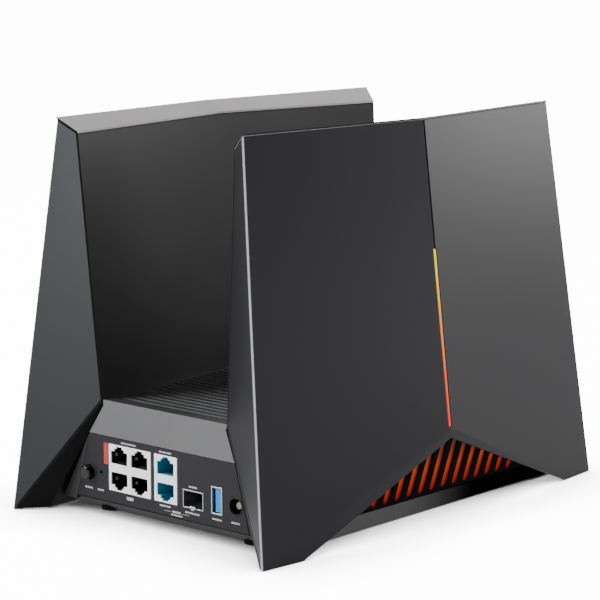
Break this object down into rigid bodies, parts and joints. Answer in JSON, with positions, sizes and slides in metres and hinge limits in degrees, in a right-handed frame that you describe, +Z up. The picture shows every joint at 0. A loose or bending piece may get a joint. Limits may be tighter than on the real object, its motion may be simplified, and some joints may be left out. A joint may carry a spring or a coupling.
{
  "type": "wireless router",
  "caption": "Desktop wireless router: two tall folded wings on a low body with a louvred deck, lit ridge strips, slotted side vents and network ports at one end.",
  "frame": {"origin": "under the middle of the router, on the surface it stands on", "axes": "+Z up, -Y out of the port panel, +X to the right-hand wing seen from the far end"},
  "size_m": [0.194, 0.272, 0.2078],
  "materials": {
    "wing_satin": "satin",
    "dark_plastic": "fine grain",
    "cap_plastic": "satin",
    "grey_plastic": "fine grain",
    "black_plastic": "satin",
    "white_plastic": "satin",
    "teal_plastic": "satin",
    "blue_plastic": "satin",
    "light_guide": "clear, lit from behind",
    "diffuser": "milky, lit from behind",
    "circuit_board": "lacquered",
    "lead_sheath": "smooth",
    "steel": "plated",
    "heat_sink": "extruded",
    "pin_metal": "plated",
    "thermal_pad": "soft",
    "rubber": "matt"
  },
  "bodies": {
    "router": {"antenna_far_left": "circuit_board", "antenna_far_right": "circuit_board", "antenna_near_left": "circuit_board", "antenna_near_right": "circuit_board", "base_tray": "dark_plastic", "board_screw_1": "steel", "board_screw_2": "steel", "board_screw_3": "steel", "board_screw_4": "steel", "case_screw_1": "steel", "case_screw_2": "steel", "case_screw_3": "steel", "case_screw_4": "steel", "coax_far_left": "lead_sheath", "coax_far_right": "lead_sheath", "coax_near_left": "lead_sheath", "coax_near_right": "lead_sheath", "dc_inlet": "black_plastic", "dc_pin": "pin_metal", "foot_pad_far_left": "rubber", "foot_pad_far_right": "rubber", "foot_pad_near_left": "rubber", "foot_pad_near_right": "rubber", "front_panel": "dark_plastic", "heat_sink": "heat_sink", "lan_bezel": "white_plastic", "lan_jack_block": "black_plastic", "main_board": "circuit_board", "port_panel": "dark_plastic", "power_switch": "black_plastic", "processor_shield": "steel", "radio_shield": "steel", "reset_switch": "steel", "ridge_light_board_left": "circuit_board", "ridge_light_board_right": "circuit_board", "ridge_light_guide_left": "light_guide", "ridge_light_guide_right": "light_guide", "sfp_cage": "steel", "thermal_pad": "thermal_pad", "top_cover": "grey_plastic", "usb_shell": "steel", "usb_tongue": "blue_plastic", "vent_diffuser_left": "diffuser", "vent_diffuser_right": "diffuser", "vent_grille_left": "black_plastic", "vent_grille_right": "black_plastic", "vent_light_board_left": "circuit_board", "vent_light_board_right": "circuit_board", "vent_sill_left": "dark_plastic", "vent_sill_right": "dark_plastic", "wan_bezel": "white_plastic", "wan_jack_block": "teal_plastic", "wing_inner_cover_left": "dark_plastic", "wing_inner_cover_right": "dark_plastic", "wing_outer_panel_left": "wing_satin", "wing_outer_panel_right": "wing_satin", "wing_top_cap_left": "cap_plastic", "wing_top_cap_right": "cap_plastic"},
    "power_button": {"power_button": "black_plastic"},
    "reset_key": {"reset_key": "black_plastic"}
  },
  "joints": [
    {"name": "power_press", "type": "slide", "parent": "router", "child": "power_button", "axis": [0, 1, 0], "range_m": [0, 0.0025], "stiffness_N_per_m": 400},
    {"name": "reset_press", "type": "slide", "parent": "router", "child": "reset_key", "axis": [0, 1, 0], "range_m": [0, 0.0004], "stiffness_N_per_m": 400}
  ]
}
